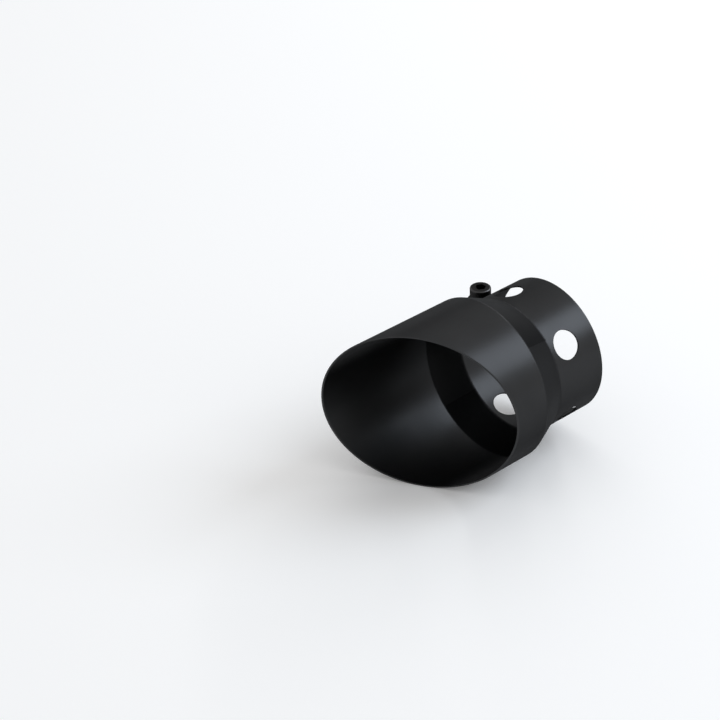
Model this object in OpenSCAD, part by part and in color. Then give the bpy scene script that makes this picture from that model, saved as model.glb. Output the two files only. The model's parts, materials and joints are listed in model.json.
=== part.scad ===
// Clamp-on exhaust tip: slash-cut outlet barrel, short reducing cone and a slotted inlet sleeve
// that is drawn tight round the tailpipe by a socket head cap screw through a pair of lugs.
// The tip lies along Y. The inlet mouth is at the origin, the slash-cut outlet faces -Y.
// +Z is up as fitted. All sizes are in millimetres.

/* [Barrel] */
// Outside diameter of the outlet barrel
barrel_d = 101.6; // [80:0.1:130]
// Length of the barrel on the tip's centre line, cone edge to slash cut
barrel_len = 52.1; // [35:0.1:120]
// Angle of the slash cut away from a square cut
slash_angle = 30.2; // [0:0.1:45]
// Turn of the slash cut about the tip's axis
slash_turn = 0; // [-20:0.1:20]
// Sheet thickness of barrel, cone and sleeve
wall = 1; // [0.8:0.1:2.5]

/* [Cone] */
// Length of the reducing cone
cone_len = 19.6; // [8:0.1:50]

/* [Inlet sleeve] */
// Bore of the sleeve, a slide fit on the tailpipe
sleeve_bore = 82.7; // [50:0.1:95]
// Length of the sleeve
sleeve_len = 34.8; // [28:0.1:80]

/* [Windows] */
// Diameter of the round windows
window_d = 17.7; // [6:0.1:22]
// Sheet left between the windows and the cone
window_margin = 3.4; // [2:0.1:20]
// Number of places round the sleeve, one of which is the slot
window_places = 5; // [4:1:6]

/* [Slot] */
// Width of the clamp slot
slot_w = 3; // [2:0.1:6]
// Diameter of the round relief at the closed end of the slot
relief_d = 8; // [4:0.1:12]

/* [Lugs] */
// Distance of the screw's axis from the inlet mouth
lug_back = 9; // [8:0.1:30]
// Radius of the rounded outer side of the lugs
lug_r = 8; // [6:0.1:10]
// Height of each lug along the screw
lug_h = 12.5; // [8:0.1:20]

/* [Screw] */
// Nominal diameter of the screw
screw_d = 8; // [6:1:10]
// Length of the screw under its head
screw_len = 30; // [20:1:40]
// Diameter of the screw's head
head_d = 13; // [10:0.1:16]
// Height of the screw's head
head_h = 8; // [6:0.1:10]
// Width across flats of the hexagon socket
socket_af = 6; // [5:0.1:8]
// Depth of the hexagon socket
socket_deep = 4; // [3:0.1:5]

/* [Colours] */
// Powder-coated sheet
shell_col = "#2e2f31"; // [#2e2f31:Satin black, #c4c6c8:Bright steel]
// Reducing cone, a little darker so the pieces can be told apart
cone_col = "#28292b"; // [#28292b:Satin black, #b4b6b8:Bright steel]
// Lugs
lug_col = "#333436"; // [#333436:Satin black, #c4c6c8:Bright steel]
// Black oxide screw
screw_col = "#1b1b1d"; // [#1b1b1d:Black oxide, #a8abae:Zinc]

/* [Hidden] */
$fn = 144;
// Room added to a cutter past the face it opens
eps = 1;
// Clearance hole in the upper lug, one millimetre over the screw
lug_clear = 1;
// Small bevels on lugs and screw
lug_bevel = 0.8;
head_bevel = 0.9;
point_bevel = 1;
barrel_r = barrel_d / 2;
sleeve_r = sleeve_bore / 2 + wall;
// Stations along Y, counted back from the inlet mouth at 0
cone_end_y = -sleeve_len;
barrel_end_y = cone_end_y - cone_len;
slash_y = barrel_end_y - barrel_len;
// Farthest reach of the slash cut either side of the centre line
slash_reach = barrel_r * tan(slash_angle);
// Distance of the window centres from the inlet mouth
window_back = sleeve_len - window_margin - window_d / 2;
// The screw runs just outside the sleeve
lug_x = -(sleeve_r + lug_r);

// Stands a profile of radius and height up along +Y, starting at y0
module along_y(y0) {
    translate([0, y0, 0]) rotate([-90, 0, 0]) children();
}

// Plain tube along Y between two stations
module tube_y(r, t, y0, y1) {
    along_y(y0) difference() {
        cylinder(r = r, h = y1 - y0);
        translate([0, 0, -eps]) cylinder(r = r - t, h = y1 - y0 + 2 * eps);
    }
}

// Everything in front of the slash plane
module slash_cutter() {
    big = 2 * (barrel_d + slash_reach);
    translate([0, slash_y, 0]) rotate([0, slash_turn, 0]) rotate([0, 0, slash_angle])
        translate([-big, -big, -big]) cube([2 * big, big, 2 * big]);
}

module outlet_barrel() {
    color(shell_col) difference() {
        tube_y(barrel_r, wall, slash_y - slash_reach - eps, barrel_end_y);
        slash_cutter();
    }
}

module transition_cone() {
    color(cone_col) along_y(barrel_end_y) rotate_extrude() polygon([
        [barrel_r - wall, 0],
        [barrel_r, 0],
        [sleeve_r, cone_len],
        [sleeve_r - wall, cone_len]
    ]);
}

// The round windows take every place but the one at -X, where the slot runs out to the mouth
module sleeve_cuts() {
    for (i = [1 : window_places - 1])
        rotate([0, -90 + i * 360 / window_places, 0])
            translate([0, -window_back, 0]) cylinder(d = window_d, h = barrel_d);
    translate([-barrel_d, -window_back, -slot_w / 2])
        cube([barrel_d, window_back + eps, slot_w]);
    translate([0, -window_back, 0]) rotate([0, -90, 0]) cylinder(d = relief_d, h = barrel_d);
}

// The sleeve is rolled from strip, and its seam is turned round to lie in line with the slot
module inlet_sleeve() {
    color(shell_col) difference() {
        rotate([0, 180, 0]) tube_y(sleeve_r, wall, cone_end_y, 0);
        sleeve_cuts();
    }
}

// Round-backed lug standing on the sleeve above the slot plane, coped to the sleeve
module lug_body() {
    difference() {
        union() {
            translate([lug_x, -lug_back, slot_w / 2]) {
                cylinder(r = lug_r, h = lug_h - lug_bevel);
                translate([0, 0, lug_h - lug_bevel])
                    cylinder(r1 = lug_r, r2 = lug_r - lug_bevel, h = lug_bevel);
            }
            translate([lug_x, -lug_back - lug_r, slot_w / 2])
                cube([lug_r * 2, lug_r * 2, lug_h - lug_bevel]);
        }
        along_y(-lug_back - 2 * lug_r) cylinder(r = sleeve_r, h = 4 * lug_r);
    }
}

// Hole through a lug along the screw
module lug_hole(d) {
    translate([lug_x, -lug_back, 0]) cylinder(d = d, h = slot_w + lug_h + eps);
}

module upper_lug() {
    color(lug_col) difference() {
        lug_body();
        lug_hole(screw_d + lug_clear);
    }
}

// The lower lug is the same piece turned over and tapped for the screw
module lower_lug() {
    color(lug_col) mirror([0, 0, 1]) difference() {
        lug_body();
        lug_hole(screw_d);
    }
}

module clamp_screw() {
    seat = slot_w / 2 + lug_h;
    color(screw_col) translate([lug_x, -lug_back, seat]) difference() {
        union() {
            cylinder(d = head_d, h = head_h - head_bevel);
            translate([0, 0, head_h - head_bevel])
                cylinder(d1 = head_d, d2 = head_d - 2 * head_bevel, h = head_bevel);
            translate([0, 0, point_bevel - screw_len]) cylinder(d = screw_d, h = screw_len - point_bevel);
            translate([0, 0, -screw_len])
                cylinder(d1 = screw_d - 2 * point_bevel, d2 = screw_d, h = point_bevel);
        }
        translate([0, 0, head_h - socket_deep])
            cylinder(d = socket_af / cos(30), h = socket_deep + eps, $fn = 6);
    }
}

outlet_barrel();
transition_cone();
inlet_sleeve();
upper_lug();
lower_lug();
clamp_screw();
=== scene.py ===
import json
import math

import bmesh
import bpy
from mathutils import Matrix, Vector


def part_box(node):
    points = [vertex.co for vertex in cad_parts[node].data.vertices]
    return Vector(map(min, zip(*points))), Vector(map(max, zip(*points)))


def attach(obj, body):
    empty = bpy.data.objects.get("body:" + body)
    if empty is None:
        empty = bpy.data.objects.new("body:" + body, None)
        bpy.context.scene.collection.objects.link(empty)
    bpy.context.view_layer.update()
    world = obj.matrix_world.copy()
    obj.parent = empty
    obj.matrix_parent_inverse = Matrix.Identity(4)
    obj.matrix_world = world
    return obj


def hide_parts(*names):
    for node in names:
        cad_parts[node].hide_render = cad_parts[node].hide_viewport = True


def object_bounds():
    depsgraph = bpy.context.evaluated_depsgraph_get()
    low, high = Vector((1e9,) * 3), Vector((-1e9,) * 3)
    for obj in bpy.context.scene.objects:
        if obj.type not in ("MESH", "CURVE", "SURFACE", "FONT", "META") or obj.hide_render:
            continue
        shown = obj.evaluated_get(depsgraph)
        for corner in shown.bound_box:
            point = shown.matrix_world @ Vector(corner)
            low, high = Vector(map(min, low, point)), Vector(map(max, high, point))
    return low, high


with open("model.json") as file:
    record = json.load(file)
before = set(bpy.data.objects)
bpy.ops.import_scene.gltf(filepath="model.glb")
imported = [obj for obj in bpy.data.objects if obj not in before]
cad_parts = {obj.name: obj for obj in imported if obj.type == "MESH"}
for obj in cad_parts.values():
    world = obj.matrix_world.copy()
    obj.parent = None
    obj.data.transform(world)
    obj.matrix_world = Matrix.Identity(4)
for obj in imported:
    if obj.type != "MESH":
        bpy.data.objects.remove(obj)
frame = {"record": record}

# The exhaust tip lies along Y, with its inlet mouth at the origin and its slash-cut outlet towards -Y.
# Everything is in metres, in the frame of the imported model.

cad_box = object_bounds()
MM = 0.001

# Sizes read from the frame
barrel_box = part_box("outlet_barrel")
cone_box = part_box("transition_cone")
upper_lug_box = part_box("upper_lug")
screw_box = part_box("clamp_screw")
clamp = frame["record"]["mounts"][0]["dims"]
barrel_r = barrel_box[1][0]
barrel_front = barrel_box[0][1]
barrel_end = barrel_box[1][1]
cone_end = cone_box[1][1]
lug_r = (upper_lug_box[1][1] - upper_lug_box[0][1]) / 2
lug_x = upper_lug_box[0][0] + lug_r
lug_y = upper_lug_box[0][1] + lug_r
lug_low = upper_lug_box[0][2]
lug_top = upper_lug_box[1][2]
sleeve_r = -lug_x - lug_r
wall = sleeve_r - clamp["r_mm"] * MM
screw_tip = screw_box[0][2]
head_low = lug_top
head_top = screw_box[1][2]
slope = (barrel_r - sleeve_r) / (cone_end - barrel_end)

# Slash cut
slash_angle = math.radians(30.2)
slash_centre = barrel_front + barrel_r * math.tan(slash_angle)

# Sleeve
window_r = 8.85 * MM
window_y = -22.55 * MM
window_places = 5
relief_r = 4 * MM
window_edge = 0.16 * MM

# Cone: the two pressed halves meet at this angle from the top, and opposite it
seam_at = math.radians(43.594)
seam_half_width = 0.22 * MM
seam_deep = 0.1 * MM

# Lugs and the weld beads round their feet
lug_edge = 0.8 * MM
slot_side_edge = 0.25 * MM
bore_clear = 0.5 * MM
thread_clear = 0.02 * MM
weld_drop = 1.15 * MM
weld_pitch = 0.8 * MM
weld_start = 3.2 * MM
weld_end = 1.2 * MM
weld_off_flank = 0.25 * MM
weld_off_top = 0.15 * MM
weld_from_mouth = -1.35 * MM
weld_stand = 0.28 * MM
weld_grain = 0.16 * MM

# Screw
head_r = 6.5 * MM
head_edge = 1.0 * MM
head_foot = 0.35 * MM
knurls = 40
knurl_deep = 0.22 * MM
knurl_low = head_low + 0.9 * MM
knurl_top = head_top - 1.6 * MM
knurl_fade_low = 0.2 * MM
knurl_fade_top = 0.25 * MM
socket_flats = 6 * MM
socket_deep = 4 * MM
screw_r = 4 * MM
thread_pitch = 1.25 * MM
thread_deep = 0.68 * MM
tip_bevel = 1 * MM

# Fine edges
SEGMENTS = 256
lip = 0.7 * MM
bend_by = 0.65 * MM
sheet_edge = 0.2 * MM

# Sheet and cutters reach this far past the face that they are cut at, or that they open
spare = 2 * MM
# A cutter of this length goes right through a lug
through = 60 * MM

# Points this close count as the same, and points a hair apart as different
same = 1e-6
hair = 0.01 * MM


# Working by hand

def clear_selection():
    if bpy.context.mode != "OBJECT":
        bpy.ops.object.mode_set(mode="OBJECT")
    bpy.ops.object.select_all(action="DESELECT")


def only(obj):
    clear_selection()
    obj.select_set(True)
    bpy.context.view_layer.objects.active = obj


def edit(obj, mode="VERT"):
    """Opens the mesh for editing with nothing selected."""
    only(obj)
    bpy.ops.object.mode_set(mode="EDIT")
    bpy.ops.mesh.select_mode(type=mode)
    bpy.ops.mesh.select_all(action="DESELECT")
    return bmesh.from_edit_mesh(obj.data)


def done(obj, name=None):
    """Closes the mesh and puts the object's own place into it."""
    only(obj)
    bpy.ops.object.transform_apply(location=True, rotation=True, scale=True)
    if name:
        obj.name = name
        obj.data.name = name
    return obj


def pick_verts(obj, test):
    bm = edit(obj, "VERT")
    for v in bm.verts:
        v.select_set(test(v.co))
    bm.select_flush_mode()
    bmesh.update_edit_mesh(obj.data)


def pick_edges(obj, test):
    """Selects the edges that pass a test of their two ends."""
    bm = edit(obj, "EDGE")
    for e in bm.edges:
        e.select_set(test(e.verts[0].co, e.verts[1].co))
    bmesh.update_edit_mesh(obj.data)


def modify(obj, kind, **settings):
    only(obj)
    step = obj.modifiers.new(kind.title(), kind)
    for key, value in settings.items():
        setattr(step, key, value)
    bpy.ops.object.modifier_apply(modifier=step.name)


def cut(obj, tool, operation="DIFFERENCE"):
    modify(obj, "BOOLEAN", object=tool, operation=operation, solver="EXACT")
    bpy.data.objects.remove(tool)


def turn_normals_out(obj):
    edit(obj)
    bpy.ops.mesh.select_all(action="SELECT")
    bpy.ops.mesh.remove_doubles(threshold=1e-7)
    bpy.ops.mesh.normals_make_consistent(inside=False)
    bpy.ops.object.mode_set(mode="OBJECT")


def smooth(obj, degrees):
    only(obj)
    bpy.ops.object.shade_smooth_by_angle(angle=math.radians(degrees))


def rod(x, y, z, radius, length, turn=(0, 0, 0), sides=96):
    """A plain round cutter."""
    clear_selection()
    bpy.ops.mesh.primitive_cylinder_add(
        vertices=sides, radius=radius, depth=length, location=(x, y, z), rotation=turn,
    )
    return done(bpy.context.object)


def stand_in(obj, node, finish):
    """Dresses a finished piece and lets it stand for a CAD node."""
    obj.data.materials.clear()
    obj.data.materials.append(finish)
    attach(obj, "root")
    if node:
        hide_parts(node)


# Rolled sheet

def skin(stations):
    """Skin turned round Y through (y, radius) stations."""
    y, radius = stations[0]
    clear_selection()
    bpy.ops.mesh.primitive_circle_add(
        vertices=SEGMENTS, radius=radius, location=(0, y, 0), rotation=(math.pi / 2, 0, 0),
    )
    obj = done(bpy.context.object)
    pick_edges(obj, lambda a, b: True)
    for next_y, next_radius in stations[1:]:
        bpy.ops.mesh.extrude_edges_move(TRANSFORM_OT_translate={"value": (0, next_y - y, 0)})
        grow = next_radius / radius
        bpy.ops.transform.resize(value=(grow, 1, grow), center_override=(0, next_y, 0))
        y, radius = next_y, next_radius
    return obj


def bend(obj, y):
    """Rounds the sheet where it changes direction."""
    pick_edges(obj, lambda a, b: abs(a.y - y) < same and abs(b.y - y) < same)
    bpy.ops.mesh.bevel(offset=bend_by, segments=6, affect="EDGES")
    turn_normals_out(obj)


def thicken(obj):
    turn_normals_out(obj)
    modify(obj, "SOLIDIFY", thickness=wall, offset=-1, use_even_offset=True)


def true_normals(obj):
    """Lets the large faces rule the shading, so that a bend or a bevel doesn't bleed into them."""
    smooth(obj, 35)
    modify(obj, "WEIGHTED_NORMAL", keep_sharp=True, weight=100)


def barrel():
    """Straight sheet to the bend, cut on the slash plane and closed again round the rim."""
    obj = skin([
        (barrel_front - spare, barrel_r),
        (barrel_end, barrel_r),
        (barrel_end + lip, barrel_r - slope * lip),
    ])
    bend(obj, barrel_end)
    thicken(obj)
    middle = Vector((0, slash_centre, 0))
    into_tube = Matrix.Rotation(slash_angle, 3, "Z") @ Vector((0, 1, 0))

    def on_plane(co):
        return abs((co - middle).dot(into_tube)) < same

    edit(obj)
    bpy.ops.mesh.select_all(action="SELECT")
    bpy.ops.mesh.bisect(plane_co=middle, plane_no=into_tube, clear_inner=True)
    pick_edges(obj, lambda a, b: on_plane(a) and on_plane(b))
    bpy.ops.mesh.bridge_edge_loops()

    def round_the_rim(a, b):
        across = abs(a.xz.length - b.xz.length) > wall / 2
        return on_plane(a) and on_plane(b) and not across

    pick_edges(obj, round_the_rim)
    bpy.ops.mesh.bevel(offset=sheet_edge, segments=3, affect="EDGES")
    turn_normals_out(obj)
    true_normals(obj)
    return done(obj, "barrel_sheet")


def seam_offset(co):
    """How far round the axis a point lies from the nearer seam, in radians."""
    off = (math.atan2(co.x, co.z) - seam_at) % math.pi
    return min(off, math.pi - off)


def cone():
    """Two pressed halves closed into one cone, with a fine sunk line along each seam."""
    obj = skin([
        (barrel_end + lip, barrel_r - slope * lip),
        (cone_end, sleeve_r),
        (cone_end + lip, sleeve_r),
    ])
    bend(obj, cone_end)
    thicken(obj)

    def on_seam(a, b):
        lengthwise = abs(a.y - b.y) > hair
        return lengthwise and seam_offset(a) < 1e-3 and seam_offset(b) < 1e-3

    def outside(co):
        along = min(1, (co.y - barrel_end) / (cone_end - barrel_end))
        return co.xz.length > barrel_r + (sleeve_r - barrel_r) * along - wall / 2

    pick_edges(obj, on_seam)
    bpy.ops.mesh.bevel(offset=seam_half_width, segments=2, affect="EDGES")
    for face_out in (True, False):
        pick_verts(obj, lambda co: seam_offset(co) < 1e-3 and outside(co) == face_out)
        grow = 1 - seam_deep / sleeve_r if face_out else 1 + seam_deep / sleeve_r
        bpy.ops.transform.resize(value=(grow, 1, grow), center_override=(0, 0, 0))
    turn_normals_out(obj)
    true_normals(obj)
    return done(obj, "cone_sheet")


def sleeve():
    """Straight sheet with its round windows, and the clamp slot with its round relief."""
    obj = skin([(cone_end + lip, sleeve_r), (0, sleeve_r)])
    thicken(obj)
    reach = 2 * sleeve_r
    for i in range(1, window_places):
        turn = -math.pi / 2 + i * 2 * math.pi / window_places
        x = math.sin(turn) * reach / 2
        z = math.cos(turn) * reach / 2
        cut(obj, rod(x, window_y, z, window_r, reach, (0, turn, 0)))
    cut(obj, rod(-reach / 2, window_y, 0, relief_r, reach, (0, math.pi / 2, 0)))
    clear_selection()
    bpy.ops.mesh.primitive_cube_add(size=1, location=(-reach / 2, (window_y + spare) / 2, 0))
    slot = bpy.context.object
    slot.scale = (reach, spare - window_y, 2 * lug_low)
    cut(obj, done(slot))
    modify(obj, "BEVEL", width=window_edge, segments=2, limit_method="ANGLE", angle_limit=math.radians(50))
    true_normals(obj)
    return done(obj, "sleeve_sheet")


# Clamp

def lug(name, side):
    """Round-backed lug coped to the sleeve; side is 1 above the slot and -1 below it."""
    middle = side * (lug_low + lug_top) / 2
    into_sleeve = 1.4 * lug_r
    obj = rod(lug_x, lug_y, middle, lug_r, lug_top - lug_low)
    pick_verts(obj, lambda co: co.x > lug_x + hair)
    bpy.ops.transform.translate(value=(into_sleeve, 0, 0))
    for height, width in ((lug_top, lug_edge), (lug_low, slot_side_edge)):
        pick_edges(obj, lambda a, b: abs(abs(a.z) - height) < same and abs(abs(b.z) - height) < same)
        bpy.ops.mesh.bevel(offset=width, segments=4, affect="EDGES")
    bpy.ops.object.mode_set(mode="OBJECT")
    cut(obj, rod(0, lug_y, 0, sleeve_r, through, (math.pi / 2, 0, 0), SEGMENTS))
    hole_r = screw_r + (bore_clear if side > 0 else thread_clear)
    cut(obj, rod(lug_x, lug_y, middle, hole_r, through))
    smooth(obj, 35)
    return done(obj, name)


def foot_of_lug(side):
    """Points round the foot of a lug, where its flanks and its outer end meet the sleeve."""
    flank = lug_r + weld_off_flank
    start = lug_low + weld_start
    top = lug_top + weld_off_top
    end = lug_low + weld_end
    corners = [(start, -flank), (top, -flank), (top, flank), (end, flank)]
    points = []
    for (z0, y0), (z1, y1) in zip(corners, corners[1:]):
        count = max(1, round(math.hypot(z1 - z0, y1 - y0) / weld_pitch))
        for i in range(count):
            z = z0 + (z1 - z0) * i / count
            y = y0 + (y1 - y0) * i / count
            points.append((z * side, lug_y + y))
    return points


def weld_bead(name, side):
    """Rippled weld: drop after drop, each short and flat and swelling in turn, melted into one skin."""
    points = foot_of_lug(side)
    clear_selection()
    bpy.ops.mesh.primitive_uv_sphere_add(segments=20, ring_count=12, radius=weld_drop)
    drop = done(bpy.context.object)
    drops = []
    for i, (z, y) in enumerate(points):
        around = math.asin(z / sleeve_r)
        out = Vector((-math.cos(around), 0, math.sin(around)))
        ahead = points[min(i + 1, len(points) - 1)]
        behind = points[max(i - 1, 0)]
        along = Vector((0, ahead[1] - behind[1], ahead[0] - behind[0])).normalized()
        across = out.cross(along).normalized()
        twin = drop.copy()
        twin.data = drop.data.copy()
        bpy.context.collection.objects.link(twin)
        swell = 1 + 0.07 * math.sin(i * 2.3)
        axes = Matrix((along * 0.62, across * swell, out * 0.72 * swell)).transposed().to_4x4()
        place = Vector((0, min(y, weld_from_mouth), 0)) + out * (sleeve_r + weld_stand)
        twin.matrix_world = Matrix.Translation(place) @ axes
        drops.append(twin)
    bpy.data.objects.remove(drop)
    clear_selection()
    for twin in drops:
        twin.select_set(True)
    bpy.context.view_layer.objects.active = drops[0]
    bpy.ops.object.join()
    obj = done(bpy.context.object)
    turn_normals_out(obj)
    modify(obj, "REMESH", mode="VOXEL", voxel_size=weld_grain)
    modify(obj, "SMOOTH", factor=0.5, iterations=1)
    smooth(obj, 60)
    return done(obj, name)


def screw_head():
    """Cap screw head: straight knurl, rounded top edge, hexagon socket."""
    radius = head_r - head_foot
    z = head_low
    clear_selection()
    bpy.ops.mesh.primitive_circle_add(
        vertices=4 * knurls, radius=radius, location=(lug_x, lug_y, z), fill_type="NGON",
    )
    obj = done(bpy.context.object)
    rings = [(head_low + head_foot, head_r), (knurl_low - knurl_fade_low, head_r), (knurl_low, head_r)]
    rings += [(knurl_top, head_r), (knurl_top + knurl_fade_top, head_r)]
    for i in range(7):
        turn = i / 6 * math.pi / 2
        ring_z = head_top - head_edge * (1 - math.sin(turn))
        ring_r = head_r - head_edge * (1 - math.cos(turn))
        rings.append((ring_z, ring_r))
    edit(obj, "FACE")
    bpy.ops.mesh.select_all(action="SELECT")
    for ring_z, ring_r in rings:
        bpy.ops.mesh.extrude_region_move(TRANSFORM_OT_translate={"value": (0, 0, ring_z - z)})
        grow = ring_r / radius
        bpy.ops.transform.resize(value=(grow, grow, 1), center_override=(lug_x, lug_y, ring_z))
        z, radius = ring_z, ring_r

    def groove(co):
        place = math.atan2(co.y - lug_y, co.x - lug_x) / (2 * math.pi / knurls)
        in_band = knurl_low - hair < co.z < knurl_top + hair
        return in_band and abs(place - round(place)) < 0.05

    pick_verts(obj, groove)
    grow = 1 - knurl_deep / head_r
    bpy.ops.transform.resize(value=(grow, grow, 1), center_override=(lug_x, lug_y, 0))
    turn_normals_out(obj)
    clear_selection()
    bpy.ops.mesh.primitive_cylinder_add(
        vertices=6, radius=socket_flats / 2 / math.cos(math.pi / 6), depth=2 * socket_deep,
        location=(lug_x, lug_y, head_top), rotation=(0, 0, math.pi / 6),
    )
    cut(obj, done(bpy.context.object))
    smooth(obj, 40)
    return done(obj, "screw_head")


def screw_shank():
    """Shank threaded to the head: one thread profile turned up in a helix, trimmed and closed."""
    core = screw_r - thread_deep
    turns = math.ceil((head_low - screw_tip) / thread_pitch) + 3
    clear_selection()
    bpy.ops.mesh.primitive_circle_add(vertices=5, radius=screw_r)
    obj = done(bpy.context.object)
    # One pitch of the thread: root, flank, crest, flank, root
    profile = [
        (core, 0),
        (screw_r, thread_pitch * 0.4),
        (screw_r, thread_pitch * 0.52),
        (core, thread_pitch * 0.92),
        (core, thread_pitch),
    ]
    bm = edit(obj)
    bm.verts.ensure_lookup_table()
    for v, (x, z) in zip(bm.verts, profile):
        v.co = (x, 0, z)
    closing = [e for e in bm.edges if abs(e.verts[0].co.z - e.verts[1].co.z) > thread_pitch * 0.9]
    bmesh.ops.delete(bm, geom=closing, context="EDGES")
    bmesh.update_edit_mesh(obj.data)
    bpy.ops.object.mode_set(mode="OBJECT")
    modify(
        obj, "SCREW", angle=2 * math.pi, steps=48, render_steps=48, screw_offset=thread_pitch,
        iterations=turns, use_merge_vertices=True, merge_threshold=same,
    )
    edit(obj)
    bpy.ops.mesh.select_all(action="SELECT")
    bpy.ops.mesh.remove_doubles(threshold=same)
    bpy.ops.transform.translate(value=(lug_x, lug_y, screw_tip - 1.7 * thread_pitch))
    for height, keep_above in ((screw_tip - 0.1 * MM, True), (head_low + 0.1 * MM, False)):
        bpy.ops.mesh.select_all(action="SELECT")
        bpy.ops.mesh.bisect(
            plane_co=(0, 0, height), plane_no=(0, 0, 1), use_fill=True,
            clear_inner=keep_above, clear_outer=not keep_above,
        )
    turn_normals_out(obj)
    length = head_low - screw_tip
    chamfer = rod(lug_x, lug_y, screw_tip + length / 2, screw_r + 0.2 * MM, length, sides=64)
    pick_edges(chamfer, lambda a, b: abs(a.z - screw_tip) < same and abs(b.z - screw_tip) < same)
    bpy.ops.mesh.bevel(offset=tip_bevel, segments=1, affect="EDGES")
    bpy.ops.object.mode_set(mode="OBJECT")
    cut(obj, chamfer, "INTERSECT")
    smooth(obj, 40)
    return done(obj, "screw_shank")


# Finishes

def join(tree, source, target):
    tree.links.new(source, target)


def place_on_piece(tree):
    return tree.nodes.new("ShaderNodeTexCoord").outputs["Object"]


def noise(tree, where, scale, detail):
    node = tree.nodes.new("ShaderNodeTexNoise")
    node.inputs["Scale"].default_value = scale
    node.inputs["Detail"].default_value = detail
    join(tree, where, node.inputs["Vector"])
    return node.outputs["Fac"]


def worked_out(tree, kind, first, second, third=None):
    """One Math node; each term is a socket or a number."""
    node = tree.nodes.new("ShaderNodeMath")
    node.operation = kind
    for socket, term in zip(node.inputs, (first, second, third)):
        if term is None:
            continue
        if isinstance(term, (int, float)):
            socket.default_value = term
        else:
            join(tree, term, socket)
    return node.outputs[0]


def spread(tree, value, low, high, to_low, to_high):
    """Eases from to_low to to_high as the value goes from low to high."""
    node = tree.nodes.new("ShaderNodeMapRange")
    node.interpolation_type = "SMOOTHSTEP"
    for socket, number in zip(node.inputs[1:5], (low, high, to_low, to_high)):
        socket.default_value = number
    join(tree, value, node.inputs[0])
    return node.outputs[0]


def coat_group():
    """Texture of a baked-on coat: a soft orange peel, and a fine grain over it."""
    tree = bpy.data.node_groups.new("baked_coat", "ShaderNodeTree")
    inputs = (("Peel Scale", 700.0), ("Grain Scale", 5200.0), ("Grain Share", 0.25))
    for name, value in inputs:
        socket = tree.interface.new_socket(name, in_out="INPUT", socket_type="NodeSocketFloat")
        socket.default_value = value
    for name in ("Height", "Patches", "Grain"):
        tree.interface.new_socket(name, in_out="OUTPUT", socket_type="NodeSocketFloat")
    entry = tree.nodes.new("NodeGroupInput")
    result = tree.nodes.new("NodeGroupOutput")
    where = place_on_piece(tree)
    peel = tree.nodes.new("ShaderNodeTexNoise")
    peel.inputs["Detail"].default_value = 1.0
    grain = tree.nodes.new("ShaderNodeTexNoise")
    grain.inputs["Detail"].default_value = 2.0
    join(tree, where, peel.inputs["Vector"])
    join(tree, where, grain.inputs["Vector"])
    join(tree, entry.outputs["Peel Scale"], peel.inputs["Scale"])
    join(tree, entry.outputs["Grain Scale"], grain.inputs["Scale"])
    share = worked_out(tree, "MULTIPLY", grain.outputs["Fac"], entry.outputs["Grain Share"])
    join(tree, worked_out(tree, "ADD", peel.outputs["Fac"], share), result.inputs["Height"])
    join(tree, noise(tree, where, 28.0, 3.0), result.inputs["Patches"])
    join(tree, grain.outputs["Fac"], result.inputs["Grain"])
    return tree


def new_finish(name):
    finish = bpy.data.materials.new(name)
    finish.use_nodes = True
    return finish, finish.node_tree, finish.node_tree.nodes["Principled BSDF"]


def place_group(tree, group, **values):
    node = tree.nodes.new("ShaderNodeGroup")
    node.node_tree = group
    for key, value in values.items():
        node.inputs[key.replace("_", " ")].default_value = value
    return node


def two_tones(tree, mask, low, high):
    node = tree.nodes.new("ShaderNodeMix")
    node.data_type = "RGBA"
    factor = next(socket for socket in node.inputs if socket.name == "Factor" and socket.type == "VALUE")
    first, second = [socket for socket in node.inputs if socket.type == "RGBA"]
    first.default_value = (*low, 1)
    second.default_value = (*high, 1)
    join(tree, mask, factor)
    return next(socket for socket in node.outputs if socket.type == "RGBA")


def shaded(tree, colour, factor):
    """A colour made lighter or darker by a factor."""
    node = tree.nodes.new("ShaderNodeVectorMath")
    node.operation = "SCALE"
    join(tree, colour, node.inputs["Vector"])
    join(tree, factor, node.inputs["Scale"])
    return node.outputs["Vector"]


def raised(tree, height, distance, shader):
    bump = tree.nodes.new("ShaderNodeBump")
    bump.inputs["Strength"].default_value = 0.5
    bump.inputs["Distance"].default_value = distance
    join(tree, height, bump.inputs["Height"])
    join(tree, bump.outputs["Normal"], shader.inputs["Normal"])


coat_low = (0.0335, 0.0339, 0.0349)
coat_high = (0.0385, 0.0390, 0.0402)
coat_rough = 0.28
coat_share = 0.92
coat_peel = 0.018 * MM
oxide_low = (0.024, 0.024, 0.025)
oxide_high = (0.034, 0.033, 0.033)
oxide_rough = 0.22
oxide_share = 0.95
oxide_peel = 0.006 * MM
# How strongly the painted highlight lightens the rounded top edge of the screw's head
oxide_painted_highlight = 2.2
edge_tint = 0.45


def gloss(tree, shader, share):
    """Mirror share of a finish, which fades at a glancing angle as it does on a matt coat."""
    turned = tree.nodes.new("ShaderNodeLayerWeight")
    turned.inputs["Blend"].default_value = 0.5
    join(tree, spread(tree, turned.outputs["Facing"], 0.52, 0.8, share, 0.1), shader.inputs["Metallic"])
    shader.inputs["Specular Tint"].default_value = (edge_tint, edge_tint, edge_tint, 1)
    shader.inputs["Specular IOR Level"].default_value = 0


def painted_cone_shade(tree, where):
    """Painted shade: the cone's coat is made darker all over, and darker still on both sides of each seam.
    """
    split = tree.nodes.new("ShaderNodeSeparateXYZ")
    join(tree, where, split.inputs[0])
    turn = worked_out(tree, "ARCTAN2", split.outputs["X"], split.outputs["Z"])
    past_seam = worked_out(tree, "FLOORED_MODULO", worked_out(tree, "SUBTRACT", turn, seam_at), math.pi)
    after = spread(tree, past_seam, 0, 0.5, 0.7, 0.82)
    before = spread(tree, past_seam, math.pi - 0.4, math.pi, 1.0, 0.6)
    return worked_out(tree, "MULTIPLY", after, before)


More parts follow.
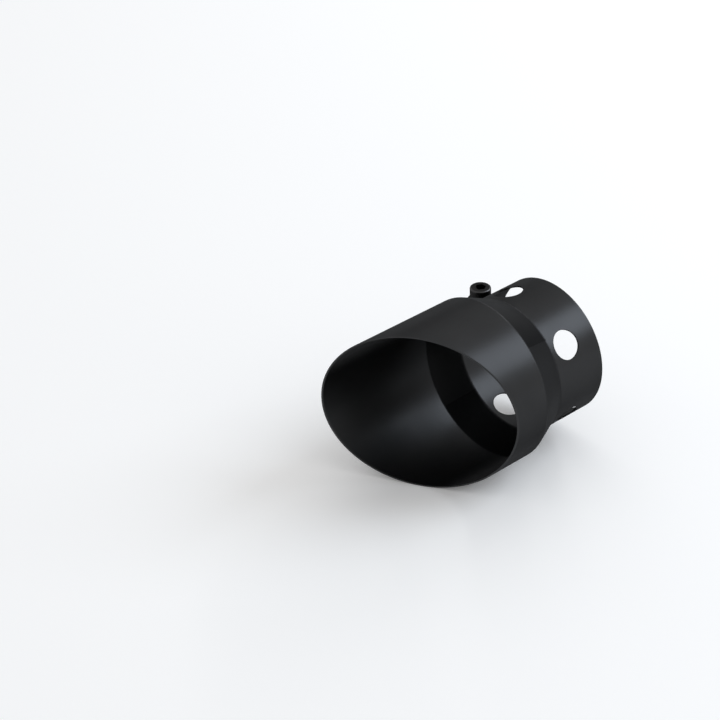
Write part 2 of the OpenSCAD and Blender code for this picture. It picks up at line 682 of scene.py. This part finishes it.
def painted_cut_light(tree, where):
    """Painted light: the coat is made lighter along the slash cut, so the cut face shows a light line."""
    depth = tree.nodes.new("ShaderNodeVectorMath")
    depth.operation = "DOT_PRODUCT"
    join(tree, where, depth.inputs[0])
    depth.inputs[1].default_value = (-math.sin(slash_angle), math.cos(slash_angle), 0)
    past_cut = worked_out(tree, "SUBTRACT", depth.outputs["Value"], slash_centre * math.cos(slash_angle))
    return spread(tree, past_cut, 0.08 * MM, 0.3 * MM, 1.3, 1.0)


def painted_edge_highlight(tree, where):
    """Painted highlight: the rounded top edge of the screw's head is made brighter."""
    flat = tree.nodes.new("ShaderNodeVectorMath")
    flat.operation = "MULTIPLY"
    flat.inputs[1].default_value = (1, 1, 0)
    join(tree, where, flat.inputs[0])
    from_axis = tree.nodes.new("ShaderNodeVectorMath")
    from_axis.operation = "DISTANCE"
    from_axis.inputs[1].default_value = (lug_x, lug_y, 0)
    join(tree, flat.outputs["Vector"], from_axis.inputs[0])
    split = tree.nodes.new("ShaderNodeSeparateXYZ")
    join(tree, where, split.inputs[0])
    edge_in = head_r - head_edge
    edge_low = head_top - head_edge
    far_out = spread(tree, from_axis.outputs["Value"], edge_in, edge_in + 0.6 * head_edge, 0.0, 1.0)
    high_up = spread(tree, split.outputs["Z"], edge_low, edge_low + 0.5 * head_edge, 0.0, 1.0)
    highlight_mask = worked_out(tree, "MULTIPLY", far_out, high_up)
    return worked_out(tree, "MULTIPLY_ADD", highlight_mask, oxide_painted_highlight, 1.0)


def satin_coat(name, group, shade=None):
    """Satin black powder coat; shade, where given, paints light or shade into its colour from place to
    place.
    """
    finish, tree, shader = new_finish(name)
    coat = place_group(tree, group)
    patches = coat.outputs["Patches"]
    colour = two_tones(tree, spread(tree, patches, 0.3, 0.7, 0.0, 1.0), coat_low, coat_high)
    if shade:
        colour = shaded(tree, colour, shade(tree, place_on_piece(tree)))
    join(tree, colour, shader.inputs["Base Color"])
    rough = worked_out(tree, "MULTIPLY_ADD", patches, 0.06, coat_rough)
    rough = worked_out(tree, "MULTIPLY_ADD", coat.outputs["Grain"], 0.05, rough)
    join(tree, rough, shader.inputs["Roughness"])
    gloss(tree, shader, coat_share)
    raised(tree, coat.outputs["Height"], coat_peel, shader)
    return finish


def black_oxide(group):
    """Oiled black oxide on machined steel, with a painted highlight round the top of the head."""
    finish, tree, shader = new_finish("black_oxide")
    coat = place_group(tree, group, Peel_Scale=2200.0, Grain_Scale=9000.0, Grain_Share=0.6)
    tone = spread(tree, coat.outputs["Patches"], 0.3, 0.7, 0.0, 1.0)
    colour = two_tones(tree, tone, oxide_low, oxide_high)
    # Painted highlight round the head's top edge.
    colour = shaded(tree, colour, painted_edge_highlight(tree, place_on_piece(tree)))
    join(tree, colour, shader.inputs["Base Color"])
    rough = worked_out(tree, "MULTIPLY_ADD", coat.outputs["Grain"], 0.12, oxide_rough)
    join(tree, rough, shader.inputs["Roughness"])
    gloss(tree, shader, oxide_share)
    raised(tree, coat.outputs["Height"], oxide_peel, shader)
    return finish


# Studio

lamp_distance = 2.4
front_wall = (0.42, 0.42, 0.42)
back_wall = (0.9, 0.9, 0.9)
floor_white = (0.96, 0.96, 0.96, 1)
floor_size = 5
floor_lift = 0.085

# Worked out from the tip's edges in the photograph
camera_place = (0.66328, -0.69589, 0.60614)
camera_right = (0.654977, 0.754714, -0.037577)
camera_back = (0.649016, -0.536385, 0.539508)
camera_lens = 94.627


def soft_box(name, way, along, size, power, colour=(1, 1, 1)):
    """A soft lamp that looks at the middle of the tip, its long side lying along a given way."""
    middle = Vector((0, -70 * MM, 0))
    back = Vector(way).normalized()
    side = Vector(along).cross(back).normalized()
    length = back.cross(side)
    data = bpy.data.lights.new(name, "AREA")
    data.shape = "RECTANGLE"
    data.size, data.size_y = size
    data.energy = power
    data.color = colour
    lamp = bpy.data.objects.new(name, data)
    bpy.context.collection.objects.link(lamp)
    turn = Matrix((length, -side, back)).transposed()
    lamp.matrix_world = Matrix.Translation(middle + back * lamp_distance) @ turn.to_4x4()


def studio_walls():
    """White walls behind the tip, and greyer ones in front of it."""
    world = bpy.data.worlds.new("studio")
    bpy.context.scene.world = world
    world.use_nodes = True
    tree = world.node_tree
    where = tree.nodes.new("ShaderNodeTexCoord").outputs["Generated"]
    split = tree.nodes.new("ShaderNodeSeparateXYZ")
    join(tree, where, split.inputs[0])
    behind = spread(tree, split.outputs["Y"], -0.4, 0.3, 0.0, 1.0)
    colour = two_tones(tree, behind, front_wall, back_wall)
    join(tree, colour, tree.nodes["Background"].inputs["Color"])


def pale_floor():
    """Matt white sheet that keeps the tip's soft shadow, and shines a little light of its own."""
    clear_selection()
    bpy.ops.mesh.primitive_plane_add(size=floor_size, location=(0, 0, cad_box[0].z))
    floor = bpy.context.object
    floor.name = "floor"
    finish, tree, shader = new_finish("pale_floor")
    shader.inputs["Base Color"].default_value = floor_white
    shader.inputs["Roughness"].default_value = 1
    shader.inputs["Specular IOR Level"].default_value = 0
    path = tree.nodes.new("ShaderNodeLightPath")
    seen = worked_out(tree, "MAXIMUM", path.outputs["Is Camera Ray"], path.outputs["Is Glossy Ray"])
    seen = worked_out(tree, "MAXIMUM", seen, path.outputs["Is Transmission Ray"])
    shader.inputs["Emission Color"].default_value = (1, 1, 1, 1)
    join(tree, worked_out(tree, "MULTIPLY", seen, floor_lift), shader.inputs["Emission Strength"])
    floor.data.materials.append(finish)


def camera():
    """Stands where the photograph was taken from, looking down on the tip from its outlet side."""
    right = Vector(camera_right).normalized()
    back = Vector(camera_back).normalized()
    up = back.cross(right)
    data = bpy.data.cameras.new("camera")
    data.sensor_width = 36
    data.lens = camera_lens
    data.clip_start = 0.05
    data.clip_end = 50
    obj = bpy.data.objects.new("camera", data)
    bpy.context.collection.objects.link(obj)
    turn = Matrix((right, up, back)).transposed().to_4x4()
    obj.matrix_world = Matrix.Translation(camera_place) @ turn
    bpy.context.scene.camera = obj


def dress():
    coat = coat_group()
    shell = satin_coat("satin_black_sheet", coat)
    # The barrel's coat carries painted light along the slash cut.
    cut_sheet_with_painted_light = satin_coat("satin_black_cut_sheet_painted_light", coat, painted_cut_light)
    # The cone's coat carries painted shade, darkest beside its two seams.
    pressed = satin_coat("satin_black_cone_painted_shade", coat, painted_cone_shade)
    oxide = black_oxide(coat)
    stand_in(barrel(), "outlet_barrel", cut_sheet_with_painted_light)
    stand_in(cone(), "transition_cone", pressed)
    stand_in(sleeve(), "inlet_sleeve", shell)
    stand_in(lug("lug_above_slot", 1), "upper_lug", shell)
    stand_in(lug("lug_below_slot", -1), "lower_lug", shell)
    stand_in(weld_bead("weld_above_slot", 1), None, shell)
    stand_in(weld_bead("weld_below_slot", -1), None, shell)
    stand_in(screw_head(), "clamp_screw", oxide)
    stand_in(screw_shank(), None, oxide)


def light():
    bpy.context.scene.view_settings.view_transform = "Standard"
    studio_walls()
    pale_floor()
    soft_box(
        "key", way=(0.395, 0.70, 0.595), along=(0.83, 0, -0.56),
        size=(1.35, 1.3), power=23.5, colour=(0.82, 0.90, 1),
    )
    soft_box(
        "strip", way=(-0.437, 0.815, 0.384), along=(0.80, 0.15, 0.58),
        size=(1.75, 0.16), power=6.8,
    )


dress()
light()
camera()
